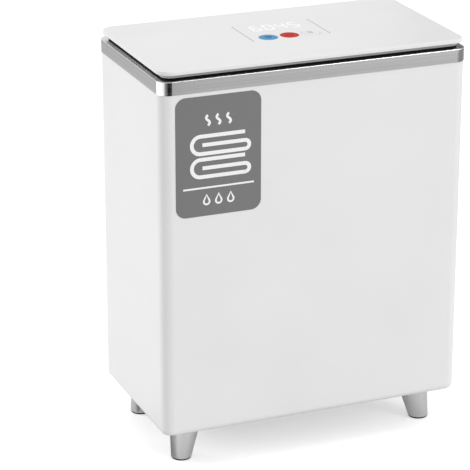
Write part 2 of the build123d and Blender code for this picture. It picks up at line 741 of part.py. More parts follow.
def build():
    for piece in (outer_shell, inlet_tray, base_plate, base_screws, foot_pads, foot_bolts, trim_band,
                  mouth_ring, inner_bucket, liner_screws, liner_buffers, front_label, floor_heater, wall_heater,
                  insulation_wrap, base_insulation, thermostat, thermal_fuse, power_board, board_screws,
                  power_transformer, heater_relay, filter_capacitor, terminal_blocks, power_inlet,
                  inlet_screws, mains_leads, heater_leads, body_harness, hinge_pins, hinge_body_screws,
                  hinge_lid_screws, lid_top, panel_lines, control_panel, lid_frame, lid_gasket, lid_liner,
                  lid_screws, lid_insulation, control_board, control_board_screws, switches,
                  display_module, cable_sleeve, lid_harness, fragrance_holder, fragrance_pad,
                  fragrance_cap):
        nodes[piece.__name__] = piece()
    nodes["inlet_blades"] = group(inlet_blades())
    for name, x_side, y_side in (("front_left", -1, -1), ("front_right", 1, -1),
                                 ("rear_left", -1, 1), ("rear_right", 1, 1)):
        nodes["foot_" + name] = foot(x_side, y_side)
    for side, x in zip(("left", "right"), HINGE_X):
        nodes["hinge_body_leaf_" + side] = hinge_body_leaf(x)
        nodes["hinge_lid_leaf_" + side] = hinge_lid_leaf(x)
    for colour, x in zip(("blue", "red", "white"), BUTTON_X):
        nodes[colour + "_button"] = button(x)


build()
os.makedirs("parts", exist_ok=True)
for name, shape in nodes.items():
    export_step(shape, "parts/" + name + ".step")
print(len(nodes), "nodes")
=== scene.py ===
# %% [markdown]
# # A towel warmer bucket
# This lesson dresses the solid model of a heated bucket: a white moulded body, a
# steel band round its mouth, a flat hinged lid with three buttons, and four
# satin metal feet. The solids arrive as fixed meshes in metres, and every finish
# is a node material. The front is towards -Y, the hinges are at +Y, Z is up.

# %% Load the solid model
import json
import math

import bmesh
import bpy
from mathutils import Matrix, Vector


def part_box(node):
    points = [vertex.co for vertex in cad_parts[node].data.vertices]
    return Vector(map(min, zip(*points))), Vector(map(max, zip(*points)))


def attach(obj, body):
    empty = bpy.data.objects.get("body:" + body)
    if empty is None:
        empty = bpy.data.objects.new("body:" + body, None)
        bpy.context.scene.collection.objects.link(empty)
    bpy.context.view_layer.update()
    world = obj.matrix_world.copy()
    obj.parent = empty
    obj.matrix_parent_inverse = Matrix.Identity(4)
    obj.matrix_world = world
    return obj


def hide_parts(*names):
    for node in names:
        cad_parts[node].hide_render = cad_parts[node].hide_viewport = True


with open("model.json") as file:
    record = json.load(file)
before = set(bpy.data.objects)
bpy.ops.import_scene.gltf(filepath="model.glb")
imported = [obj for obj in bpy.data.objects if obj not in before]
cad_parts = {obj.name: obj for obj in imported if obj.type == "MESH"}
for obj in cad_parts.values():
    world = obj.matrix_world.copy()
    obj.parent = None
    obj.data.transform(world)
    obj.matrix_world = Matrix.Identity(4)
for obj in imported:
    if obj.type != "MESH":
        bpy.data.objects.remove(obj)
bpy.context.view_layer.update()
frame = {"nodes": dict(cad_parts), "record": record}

scene = bpy.context.scene
MM = 0.001

# %% [markdown]
# ## The camera
# A long lens flattens the bucket as a catalogue picture does. It stands to the
# front left and looks down on the lid at a shallow angle. A 180 mm lens on the
# usual 36 mm sensor keeps the upright edges nearly parallel.

# %% Place the camera
LOOK_DOWN, TURN_RIGHT = 20.358, 22.187      # degrees

camera_data = bpy.data.cameras.new("studio_camera")
camera_data.lens = 180.0
camera_data.sensor_width = 36.0
camera_data.dof.use_dof = False
camera = bpy.data.objects.new("studio_camera", camera_data)
camera.location = (-1.0763, -2.4920, 1.2472)
camera.rotation_euler = (math.radians(90 - LOOK_DOWN), 0.0, math.radians(-TURN_RIGHT))
scene.collection.objects.link(camera)
scene.camera = camera
print("camera stands", round(camera.location.length, 2), "m away")

# %% [markdown]
# ## Helpers for node trees
# Every finish below is a small node tree. One helper makes a node, sets its
# options and connects or fills its inputs, so that a tree reads top to bottom.
# A value that is a socket is connected, and anything else is typed in.

# %% Write the node helper
def node(tree, kind, inputs=None, **options):
    """A new node, with its options set and its inputs connected or filled."""
    made = tree.nodes.new(kind)
    for key, value in options.items():
        setattr(made, key, value)
    for key, value in (inputs or {}).items():
        if isinstance(value, bpy.types.NodeSocket):
            tree.links.new(value, made.inputs[key])
        else:
            made.inputs[key].default_value = value
    return made


def math_node(tree, operation, first, second=0.5, third=0.5):
    """The result of one sum on numbers or sockets."""
    return node(tree, "ShaderNodeMath", {0: first, 1: second, 2: third},
                operation=operation).outputs[0]


def new_group(name, sockets_in, sockets_out):
    """An empty shader group, with what it is given and what it hands out."""
    tree = bpy.data.node_groups.new(name, "ShaderNodeTree")
    for title, kind, value in sockets_in:
        socket = tree.interface.new_socket(title, in_out="INPUT", socket_type=kind)
        if value is not None:
            socket.default_value = value
    for title, kind in sockets_out:
        tree.interface.new_socket(title, in_out="OUTPUT", socket_type=kind)
    return tree, node(tree, "NodeGroupInput").outputs, node(tree, "NodeGroupOutput").inputs


print("helpers for node trees are ready")

# %% [markdown]
# ## Moulded grain
# Injection-moulded plastic is never mirror smooth: the steel mould is spark
# eroded, which leaves a fine, shallow grain, and the sheet sinks by hundredths
# of a millimetre over thick spots. Two noises at two sizes give both. The group
# hands out a height for the bump, a slight change of tone and one of gloss.

# %% Build the moulded grain group
def build_moulded_grain():
    tree, given, out = new_group(
        "moulded_grain",
        [("Place", "NodeSocketVector", None), ("Grain per metre", "NodeSocketFloat", 1400.0),
         ("Waviness", "NodeSocketFloat", 0.35)],
        [("Height", "NodeSocketFloat"), ("Tone", "NodeSocketFloat"),
         ("Gloss", "NodeSocketFloat")])
    fine = node(tree, "ShaderNodeTexNoise",
                {"Vector": given["Place"], "Scale": given["Grain per metre"],
                 "Detail": 3.0, "Roughness": 0.6})
    broad = node(tree, "ShaderNodeTexNoise",
                 {"Vector": given["Place"], "Scale": 9.0, "Detail": 1.5, "Roughness": 0.4})
    waves = math_node(tree, "MULTIPLY", broad.outputs[0], given["Waviness"])
    height = math_node(tree, "ADD", fine.outputs[0], waves)
    tree.links.new(height, out["Height"])
    tree.links.new(broad.outputs[0], out["Tone"])
    mixed = math_node(tree, "MULTIPLY_ADD", fine.outputs[0], 0.5,
                      math_node(tree, "MULTIPLY", broad.outputs[0], 0.5))
    tree.links.new(mixed, out["Gloss"])
    return tree


GRAIN = build_moulded_grain()
print("moulded grain has", len(GRAIN.nodes), "nodes")

# %% [markdown]
# ## Brushed metal
# A steel band is brushed along its length with an abrasive belt, so its scratches
# are long and hair-thin. Squeezing the coordinates across the brushing before a
# noise turns its blobs into such hairs, and each metal gives its own squeeze. A
# second, coarser noise adds the bands of stronger and weaker brushing that the
# eye picks up first.

# %% Build the brushing group
STREAK_SHARE, HAIR_SHARE = 0.55, 0.45       # of the change in tone


def build_brushing():
    tree, given, out = new_group(
        "brushing",
        [("Place", "NodeSocketVector", None), ("Squeeze", "NodeSocketVector", None)],
        [("Height", "NodeSocketFloat"), ("Tone", "NodeSocketFloat"),
         ("Gloss", "NodeSocketFloat")])
    squeezed = node(tree, "ShaderNodeMapping",
                    {"Vector": given["Place"], "Scale": given["Squeeze"]}).outputs[0]
    hairs = node(tree, "ShaderNodeTexNoise",
                 {"Vector": squeezed, "Scale": 1.0, "Detail": 4.0, "Roughness": 0.7})
    streaks = node(tree, "ShaderNodeTexNoise",
                   {"Vector": squeezed, "Scale": 0.21, "Detail": 2.0, "Roughness": 0.5})
    tree.links.new(hairs.outputs[0], out["Height"])
    mixed = math_node(tree, "MULTIPLY_ADD", streaks.outputs[0], STREAK_SHARE,
                      math_node(tree, "MULTIPLY", hairs.outputs[0], HAIR_SHARE))
    tree.links.new(mixed, out["Tone"])
    tree.links.new(streaks.outputs[0], out["Gloss"])
    return tree


BRUSHING = build_brushing()
print("brushing has", len(BRUSHING.nodes), "nodes")

# %% [markdown]
# ## Materials for plastic and rubber
# One function makes every moulded finish. The grain moves the base colour a few
# percent either way, moves the roughness a little more, and lifts the normal
# through a Bump node whose distance is a few hundredths of a millimetre.

# %% Write the plastic maker
def value_range(tree, factor, low, high):
    """A noise's usual span, 0.3 to 0.7, laid out from low to high."""
    return node(tree, "ShaderNodeMapRange",
                {"Value": factor, "From Min": 0.3, "From Max": 0.7,
                 "To Min": low, "To Max": high}).outputs[0]


def value_about(tree, factor, middle, change):
    """The middle value, up to a share of change less or more where the noise says."""
    return value_range(tree, factor, middle * (1 - change), middle * (1 + change))


def mixed_colour(tree, factor, first, second):
    return node(tree, "ShaderNodeMix", {0: factor, 6: first, 7: second},
                data_type="RGBA").outputs[2]


def tinted(tree, colour, factor, change):
    """The colour, up to change darker or lighter where the factor says."""
    darker = [channel * (1 - change) for channel in colour] + [1.0]
    lighter = [min(channel * (1 + change), 1.0) for channel in colour] + [1.0]
    return mixed_colour(tree, value_range(tree, factor, 0.0, 1.0), darker, lighter)


def start_material(name):
    """A new material, its tree, its shader and the place in metres on the piece."""
    material = bpy.data.materials.new(name)
    material.use_nodes = True
    tree = material.node_tree
    shader = tree.nodes["Principled BSDF"]
    place = node(tree, "ShaderNodeTexCoord").outputs["Object"]
    return material, tree, shader, place


def finish_material(tree, shader, surface, base, gloss, depth):
    """Connects the colour, the roughness and a relief that is depth millimetres deep."""
    bump = node(tree, "ShaderNodeBump", {"Height": surface.outputs["Height"],
                                         "Strength": 1.0, "Distance": depth * MM})
    for source, title in ((base, "Base Color"), (gloss, "Roughness"),
                          (bump.outputs[0], "Normal")):
        tree.links.new(source, shader.inputs[title])


PLASTIC_IOR = 1.46
PLASTIC_GLOSS_CHANGE = 0.12     # of the roughness, either way


def plastic(name, colour, roughness, grain=1400.0, depth=0.02, change=0.015, shine=0.5):
    """Grain is in grains per metre, depth in millimetres; shine 0.5 is an ordinary sheen."""
    material, tree, shader, place = start_material(name)
    mould = node(tree, "ShaderNodeGroup", {"Place": place, "Grain per metre": grain},
                 node_tree=GRAIN)
    base = tinted(tree, colour, mould.outputs["Tone"], change)
    gloss = value_about(tree, mould.outputs["Gloss"], roughness, PLASTIC_GLOSS_CHANGE)
    finish_material(tree, shader, mould, base, gloss, depth)
    shader.inputs["IOR"].default_value = PLASTIC_IOR
    shader.inputs["Specular IOR Level"].default_value = shine
    return material


print("the plastic maker is ready")

# %% [markdown]
# ## Materials for metal
# Metals share the brushing group. The squeeze says how many hairs fit in a metre
# along each axis, so the same group serves the band, the feet, the hinges and the
# bucket, each with its own direction and density. The band's top edge is bent over
# and left satin, so above a height the maker takes an even roughness. It also takes
# a lighter colour there in place of the brushed tone, which is a painted highlight
# along the top edge and painted light on the flange under the lid.

# %% Write the metal maker
METAL_GLOSS_CHANGE = 0.15       # of the roughness, either way


def metal(name, colour, roughness, squeeze, depth=0.01, change=0.06, top=None):
    """A brushed metal; top is a height in mm, and the roughness and the painted highlight colour
    above it.
    """
    material, tree, shader, place = start_material(name)
    brush = node(tree, "ShaderNodeGroup", {"Place": place, "Squeeze": squeeze},
                 node_tree=BRUSHING)
    base = tinted(tree, colour, brush.outputs["Tone"], change)
    gloss = value_about(tree, brush.outputs["Gloss"], roughness, METAL_GLOSS_CHANGE)
    if top:
        level, top_roughness, painted_top_highlight = top
        height = node(tree, "ShaderNodeSeparateXYZ", {0: place}).outputs["Z"]
        above = math_node(tree, "GREATER_THAN", height, level * MM)
        gloss = math_node(tree, "MAXIMUM", gloss,
                          math_node(tree, "MULTIPLY", above, top_roughness))
        # Above the level the lighter colour is a painted highlight on the band's top edge and
        # painted light on its flange.
        base = mixed_colour(tree, above, base, (*painted_top_highlight, 1.0))
    finish_material(tree, shader, brush, base, gloss, depth)
    shader.inputs["Metallic"].default_value = 1.0
    return material


print("the metal maker is ready")

# %% [markdown]
# ## The finishes of this bucket
# Each slot of the record gets one finish. The body and lid are the same white, a
# satin polypropylene. The band's brushing runs round the bucket, so its hairs are
# squeezed in height only. The feet are satin aluminium turned on a lathe. Each
# row gives the colour as light that comes back, from 0 to 1, then the roughness.

# %% Make one finish for each slot
FINISH = {
    "white_shell": plastic("white_shell", (0.84, 0.84, 0.84), 0.42),
    "lid_white": plastic("lid_white", (0.84, 0.84, 0.84), 0.40),
    "panel_white": plastic("panel_white", (0.82, 0.82, 0.82), 0.30, grain=2600.0, depth=0.006),
    "panel_line": plastic("panel_line", (0.16, 0.16, 0.165), 0.45),
    # The band's lighter colour above 485.3 mm is a painted highlight on its top edge and painted
    # light on its flange; the satin roughness there is real.
    "band_steel": metal("band_steel", (0.38, 0.38, 0.383), 0.22, (9.0, 9.0, 4200.0),
                        change=0.15, top=(485.3, 0.25, (0.66, 0.66, 0.67))),
    "foot_silver": metal("foot_silver", (0.54, 0.54, 0.545), 0.36, (40.0, 40.0, 3600.0),
                         depth=0.006, change=0.03),
    "black_rubber": plastic("black_rubber", (0.005, 0.005, 0.0052), 0.62,
                            grain=900.0, depth=0.03, shine=0.12),
    "cable_sheath": plastic("cable_sheath", (0.03, 0.03, 0.032), 0.5, depth=0.02),
    "black_plastic": plastic("black_plastic", (0.028, 0.028, 0.03), 0.5, grain=1100.0, depth=0.04),
    "grey_plastic": plastic("grey_plastic", (0.36, 0.36, 0.365), 0.45),
    "liner_grey": plastic("liner_grey", (0.66, 0.66, 0.665), 0.42, grain=1200.0, depth=0.03),
    "bucket_aluminium": metal("bucket_aluminium", (0.70, 0.70, 0.71), 0.34,
                              (30.0, 30.0, 2600.0), depth=0.008, change=0.04),
    "heater_plate": metal("heater_plate", (0.62, 0.62, 0.62), 0.4, (1500.0, 40.0, 40.0)),
    "silicone_mat": plastic("silicone_mat", (0.42, 0.09, 0.035), 0.6, grain=600.0, depth=0.05),
    "silicone_clear": plastic("silicone_clear", (0.62, 0.62, 0.60), 0.35),
    "felt": plastic("felt", (0.62, 0.59, 0.50), 0.9, grain=450.0, depth=0.35, change=0.08),
    "label_grey": plastic("label_grey", (0.190, 0.190, 0.193), 0.45, grain=2600.0, depth=0.005),
    "circuit_green": plastic("circuit_green", (0.02, 0.12, 0.045), 0.3, depth=0.005),
    "component_black": plastic("component_black", (0.035, 0.035, 0.035), 0.4),
    "component_yellow": plastic("component_yellow", (0.62, 0.45, 0.04), 0.4),
    "component_green": plastic("component_green", (0.05, 0.28, 0.09), 0.4),
    "sensor_case": metal("sensor_case", (0.62, 0.62, 0.62), 0.35, (60.0, 60.0, 2000.0)),
    "hinge_steel": metal("hinge_steel", (0.56, 0.56, 0.565), 0.3, (30.0, 2800.0, 2800.0)),
    "screw_steel": metal("screw_steel", (0.60, 0.60, 0.61), 0.28, (900.0, 900.0, 900.0)),
    "blade_brass": metal("blade_brass", (0.62, 0.45, 0.18), 0.25, (1200.0, 60.0, 1200.0)),
    "button_blue": plastic("button_blue", (0.085, 0.31, 0.58), 0.42,
                           grain=2000.0, depth=0.004, shine=0.06),
    "button_red": plastic("button_red", (0.57, 0.016, 0.003), 0.42,
                          grain=2000.0, depth=0.004, shine=0.06),
    "button_white": plastic("button_white", (0.80, 0.80, 0.80), 0.3, grain=2000.0, depth=0.004),
}
for row in frame["record"]["subparts"]:
    mesh = frame["nodes"][row["node"]].data
    mesh.materials.clear()
    mesh.materials.append(FINISH[row["material_slot"]])

# %% [markdown]
# ## Printed lines
# The sign on the front and the marks on the buttons are thin prints. A real print
# is a flat coat of ink, about a tenth of a millimetre thick at most. Each is drawn
# as curves lying flat, and Geometry Nodes sweeps a small rectangle along them, so
# that the width and the thickness of the ink stay two named inputs.

# %% Build the print tree
def new_geometry_tree(name, sockets_in):
    """An empty geometry tree with named inputs."""
    tree = bpy.data.node_groups.new(name, "GeometryNodeTree")
    tree.interface.new_socket("Geometry", in_out="INPUT", socket_type="NodeSocketGeometry")
    for title, kind, value in sockets_in:
        socket = tree.interface.new_socket(title, in_out="INPUT", socket_type=kind)
        if value is not None:
            socket.default_value = value
    tree.interface.new_socket("Geometry", in_out="OUTPUT", socket_type="NodeSocketGeometry")
    return tree, node(tree, "NodeGroupInput").outputs, node(tree, "NodeGroupOutput").inputs


def close_tree(tree, given, out, shape):
    """Every tree ends alike: real geometry, with its material set."""
    real = node(tree, "GeometryNodeRealizeInstances", {"Geometry": shape})
    finished = node(tree, "GeometryNodeSetMaterial",
                    {"Geometry": real.outputs[0], "Material": given["Finish"]})
    tree.links.new(finished.outputs[0], out["Geometry"])
    return tree


def build_print_tree():
    """Sweeps a flat rectangle of ink along each stroke."""
    tree, given, out = new_geometry_tree(
        "printed_line", [("Line width", "NodeSocketFloat", 2.0 * MM),
                         ("Ink height", "NodeSocketFloat", 0.05 * MM),
                         ("Finish", "NodeSocketMaterial", None)])
    upright = node(tree, "GeometryNodeSetCurveNormal", {"Curve": given["Geometry"]},
                   mode="Z_UP")
    profile = node(tree, "GeometryNodeCurvePrimitiveQuadrilateral",
                   {"Width": given["Line width"], "Height": given["Ink height"]})
    swept = node(tree, "GeometryNodeCurveToMesh",
                 {"Curve": upright.outputs[0], "Profile Curve": profile.outputs[0],
                  "Fill Caps": True})
    flat = node(tree, "GeometryNodeSetShadeSmooth",
                {"Geometry": swept.outputs[0], "Shade Smooth": False})
    return close_tree(tree, given, out, flat.outputs[0])


PRINTED_LINE = build_print_tree()
print("the print tree has", len(PRINTED_LINE.nodes), "nodes")

# %% [markdown]
# ## From a live tree to a plain mesh
# A modifier's inputs are set by the identifier of each socket. Then the evaluated
# object is copied to a plain mesh, which is moved to its place and rides on the
# part of the bucket that carries it.

# %% Write the baking helpers
def baked(name, source, tree, values):
    """The source object's shape after the tree, as a plain mesh object."""
    scene.collection.objects.link(source)
    modifier = source.modifiers.new(tree.name, "NODES")
    modifier.node_group = tree
    for item in tree.interface.items_tree:
        if item.in_out == "INPUT" and item.name in values:
            modifier[item.identifier] = values[item.name]
    bpy.context.view_layer.update()
    evaluated = source.evaluated_get(bpy.context.evaluated_depsgraph_get())
    mesh = bpy.data.meshes.new_from_object(evaluated)
    bpy.data.objects.remove(source)
    mesh.name = name
    result = bpy.data.objects.new(name, mesh)
    scene.collection.objects.link(result)
    return result


def settle(piece, place, body, replaced=()):
    """Moves a mesh to its place and lets it ride on a body."""
    piece.data.transform(place)
    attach(piece, body)
    if replaced:
        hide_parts(*replaced)
    print(piece.name, "has", len(piece.data.polygons), "faces")
    return piece


def arc(centre, radius, start, end, steps=24):
    """Points along an arc, with its angles in degrees."""
    angles = [math.radians(start + (end - start) * step / steps) for step in range(steps + 1)]
    return [(centre[0] + radius * math.cos(a), centre[1] + radius * math.sin(a)) for a in angles]


def drawing(name, strokes):
    """A flat drawing in millimetres: each stroke is its points, and True if closed."""
    curve = bpy.data.curves.new(name, "CURVE")
    curve.dimensions = "3D"
    for points, closed in strokes:
        spline = curve.splines.new("POLY")
        spline.points.add(len(points) - 1)
        for point, (across, up) in zip(spline.points, points):
            point.co = (across * MM, up * MM, 0.0, 1.0)
        spline.use_cyclic_u = closed
    return bpy.data.objects.new(name, curve)


def print_lines(name, strokes, width, height, finish):
    return baked(name, drawing(name, strokes), PRINTED_LINE,
                 {"Line width": width * MM, "Ink height": height * MM, "Finish": finish})


print("the baking helpers are ready")

# %% [markdown]
# ## The front sign
# A grey film with rounded corners is stuck to the upper left of the front. It
# says, without a word, what the bucket is for: rising warmth, two folded towels,
# a rule and three drops of fragrance. A towel is a stroke that folds back on
# itself twice, which is how a folded towel looks from its end.

# %% Print the front sign
label_low, label_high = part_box("front_label")
SIGN_CENTRE = (label_low + label_high) / 2
SIGN_PLACE = (Matrix.Translation((SIGN_CENTRE.x, label_low.y, SIGN_CENTRE.z))
              @ Matrix.Rotation(math.radians(90), 4, "X"))
INK = plastic("white_ink", (0.95, 0.95, 0.95), 0.4, grain=2600.0, depth=0.004)
INK_HEIGHT = 0.12
TOWEL_WIDE, TOWEL_THICK = 66.0, 21.0
INNER_FOLD = 0.62               # where the inner fold ends, in thicknesses from the left
STEAM_SWING, STEAM_RISE = 2.2, 0.62
STEAM_STEPS, STEAM_TURN = 20, 18
DROP_TIP = 2.3                  # height of a drop's tip, in radii of its round end


def folded_towel(base):
    """One stroke: over the top, round the left, back, and into the inner fold."""
    left, right, middle = -TOWEL_WIDE / 2, TOWEL_WIDE / 2, base + TOWEL_THICK / 2
    round_left = arc((left + TOWEL_THICK / 2, middle), TOWEL_THICK / 2, 90, 270)
    round_right = arc((right, base + TOWEL_THICK / 4), TOWEL_THICK / 4, -90, 90, 12)
    return ([(right, base + TOWEL_THICK)] + round_left + [(right, base)] + round_right
            + [(left + TOWEL_THICK * INNER_FOLD, middle)])


def steam(x, base):
    """A line that sways as it rises."""
    return [(x + STEAM_SWING * math.sin(math.radians(step * STEAM_TURN)),
             base + step * STEAM_RISE) for step in range(STEAM_STEPS + 1)]


def drop(x, y, size):
    """A round end that runs up to a tip."""
    return arc((x, y), size, -200, 20, 18) + [(x, y + size * DROP_TIP)]


towels = [(folded_towel(base), False) for base in (-24.5, 3.5)]
warmth = [(steam(x, 37.0), False) for x in (-13.0, 0.0, 13.0)]
rule = [([(-44.0, -38.0), (44.0, -38.0)], False)]
drops = [(drop(x, -55.0, 3.6), True) for x in (-15.0, 0.0, 15.0)]
for name, strokes, width in (("sign_towels", towels, 4.6), ("sign_warmth", warmth, 3.0),
                             ("sign_rule", rule, 2.2), ("sign_drops", drops, 2.2)):
    sign = print_lines(name, strokes, width, INK_HEIGHT, INK)
    settle(sign, SIGN_PLACE, "bucket")

# %% [markdown]
# ## The marks on the buttons
# Each button carries one small mark in its middle: clock hands in a ring on the
# blue one, the ring and bar of a power switch on the red one, and two bars under
# a line on the white one. The mark rides on its button, so it sinks with it. The
# table below gives the button's material slot, the strokes and the ink's colour.

# %% Print the button marks
MARK_RING, MARK_LINE, MARK_HEIGHT = 3.4, 1.5, 0.06
MARKS = {
    "blue_button": ("button_blue",
                    [(arc((0, 0), MARK_RING, 0, 360), True),
                     ([(0, 2.2), (0, 0), (1.8, 0)], False)], (0.004, 0.05, 0.17)),
    "red_button": ("button_red",
                   [(arc((0, 0), MARK_RING, 120, 420), False),
                    ([(0, 4.4), (0, 0.6)], False)], (0.24, 0.004, 0.002)),
    "white_button": ("button_white",
                     [([(-4.6, 3.4), (2.2, 3.4)], False),
                      ([(-1.6, 1.4), (-1.6, -3.2)], False),
                      ([(1.4, 1.4), (1.4, -3.2)], False)], (0.30, 0.30, 0.31)),
}
for button, (slot, strokes, colour) in MARKS.items():
    low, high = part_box(button)
    ink = plastic(button + "_ink", colour, 0.4, depth=0.003, shine=0.06)
    mark = print_lines(button + "_mark", strokes, MARK_LINE, MARK_HEIGHT, ink)
    place = Matrix.Translation(((low.x + high.x) / 2, (low.y + high.y) / 2, high.z))
    settle(mark, place, button)

# %% [markdown]
# ## The digits of the display
# Four seven-segment digits glow faintly through the white film of the panel. Each
# lit segment is the same six-sided bar, laid flat or turned upright, so Geometry
# Nodes sets one bar on a point for each segment. The turn is an attribute of the
# point. The bars are 0.1 mm thick, like a thin film with the light behind it.

# %% Build the segment tree
NEAR_TIP = 0.9      # of the hexagon's radius: only its two end corners lie beyond


def build_segment_tree():
    """Sets one six-sided bar on each point, turned as the point says."""
    tree, given, out = new_geometry_tree(
        "lit_segments", [("Bar length", "NodeSocketFloat", 9.0 * MM),
                         ("Bar width", "NodeSocketFloat", 1.6 * MM),
                         ("Bar height", "NodeSocketFloat", 0.1 * MM),
                         ("Finish", "NodeSocketMaterial", None)])
    hexagon = node(tree, "GeometryNodeMeshCylinder",
                   {"Vertices": 6, "Radius": 1.0, "Depth": given["Bar height"]})
    place = node(tree, "GeometryNodeInputPosition").outputs[0]
    part = node(tree, "ShaderNodeSeparateXYZ", {0: place}).outputs
    tip = math_node(tree, "GREATER_THAN", math_node(tree, "ABSOLUTE", part["X"]), NEAR_TIP)
    half_width = math_node(tree, "MULTIPLY", given["Bar width"], 0.5)
    shoulder = math_node(tree, "SUBTRACT", math_node(tree, "MULTIPLY", given["Bar length"], 0.5),
                         half_width)
    reach = math_node(tree, "MULTIPLY_ADD", tip, half_width, shoulder)
    along = math_node(tree, "MULTIPLY", math_node(tree, "SIGN", part["X"]), reach)
    across = math_node(tree, "MULTIPLY", part["Y"],
                       math_node(tree, "DIVIDE", half_width, math.sin(math.radians(60))))
    moved = node(tree, "ShaderNodeCombineXYZ", {"X": along, "Y": across, "Z": part["Z"]})
    bar = node(tree, "GeometryNodeSetPosition",
               {"Geometry": hexagon.outputs["Mesh"], "Position": moved.outputs[0]})
    turn = node(tree, "GeometryNodeInputNamedAttribute", {"Name": "turn"}, data_type="FLOAT")
    spin = node(tree, "ShaderNodeCombineXYZ", {"Z": turn.outputs["Attribute"]})
    bars = node(tree, "GeometryNodeInstanceOnPoints",
                {"Points": given["Geometry"], "Instance": bar.outputs[0],
                 "Rotation": spin.outputs[0]})
    return close_tree(tree, given, out, bars.outputs[0])


LIT_SEGMENTS = build_segment_tree()
print("the segment tree has", len(LIT_SEGMENTS.nodes), "nodes")

# %% [markdown]
# ## Which segments are lit
# The seven segments are named a to g, clockwise from the top with g in the
# middle. The display says 60 45, sixty degrees and forty-five minutes.

# %% Set out the digits
DIGIT_CENTRE = (3.0, 29.0)              # millimetres, on the lid
DIGIT_STEP = 16.6
DIGIT_WIDE, HALF_DIGIT_HIGH = 9.6, 10.4     # between the middles of the bars
BAR_LENGTH, BAR_WIDTH, BAR_HEIGHT = 9.4, 3.0, 0.1
DIGIT_GLOW = 0.17
SEGMENTS = {"a": (0, 1, 0), "b": (0.5, 0.5, 1), "c": (0.5, -0.5, 1), "d": (0, -1, 0),
            "e": (-0.5, -0.5, 1), "f": (-0.5, 0.5, 1), "g": (0, 0, 0)}
SHOWN = ("acdefg", "abcdef", "bcfg", "acdfg")


def point_cloud(name, places, turns=None):
    """A mesh of loose points, which the trees set their shapes on."""
    mesh = bpy.data.meshes.new(name)
    mesh.from_pydata([[value * MM for value in place] for place in places], [], [])
    if turns:
        mesh.attributes.new("turn", "FLOAT", "POINT").data.foreach_set("value", turns)
    return bpy.data.objects.new(name, mesh)


def glowing(name, colour, glow):
    """A film with a faint light behind it."""
    material = plastic(name, colour, 0.35, grain=2600.0, depth=0.004)
    shader = material.node_tree.nodes["Principled BSDF"]
    shader.inputs["Emission Color"].default_value = (*colour, 1.0)
    shader.inputs["Emission Strength"].default_value = glow
    return material


bars, turns = [], []
for number, lit in enumerate(SHOWN):
    middle = DIGIT_CENTRE[0] + (number - 1.5) * DIGIT_STEP
    for letter in lit:
        x, y, upright = SEGMENTS[letter]
        bars.append((middle + x * DIGIT_WIDE, DIGIT_CENTRE[1] + y * HALF_DIGIT_HIGH, 0.0))
        turns.append(math.radians(90) * upright)
film_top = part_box("control_panel")[1].z
digits = baked("display_digits", point_cloud("display_digits", bars, turns), LIT_SEGMENTS,
               {"Bar length": BAR_LENGTH * MM, "Bar width": BAR_WIDTH * MM,
                "Bar height": BAR_HEIGHT * MM,
                "Finish": glowing("digit_glow", (0.84, 0.87, 0.89), DIGIT_GLOW)})
settle(digits, Matrix.Translation((0, 0, film_top)), "lid")

# %% [markdown]
# ## Screws
# The bucket is held together by small cross-head screws: pan heads hold the ring
# round the mouth and the mains inlet, and countersunk ones sit flush in the base
# plate, in the rim under the lid and in the hinges. One tree makes both: a
# cylinder is narrowed towards its neck, rounded at its crown, and a cross is cut
# into it with a boolean before it is set on the points. A random turn, always the
# same, leaves the crosses pointing different ways, as a driver does.

# %% Build the screw tree
CROWN_START = 0.17          # of the head's height above its middle
CROSS_REACH, CROSS_WIDTH, CROSS_DEPTH = 1.1, 0.22, 1.1
SHANK_START = 0.9           # of the head's height below its face


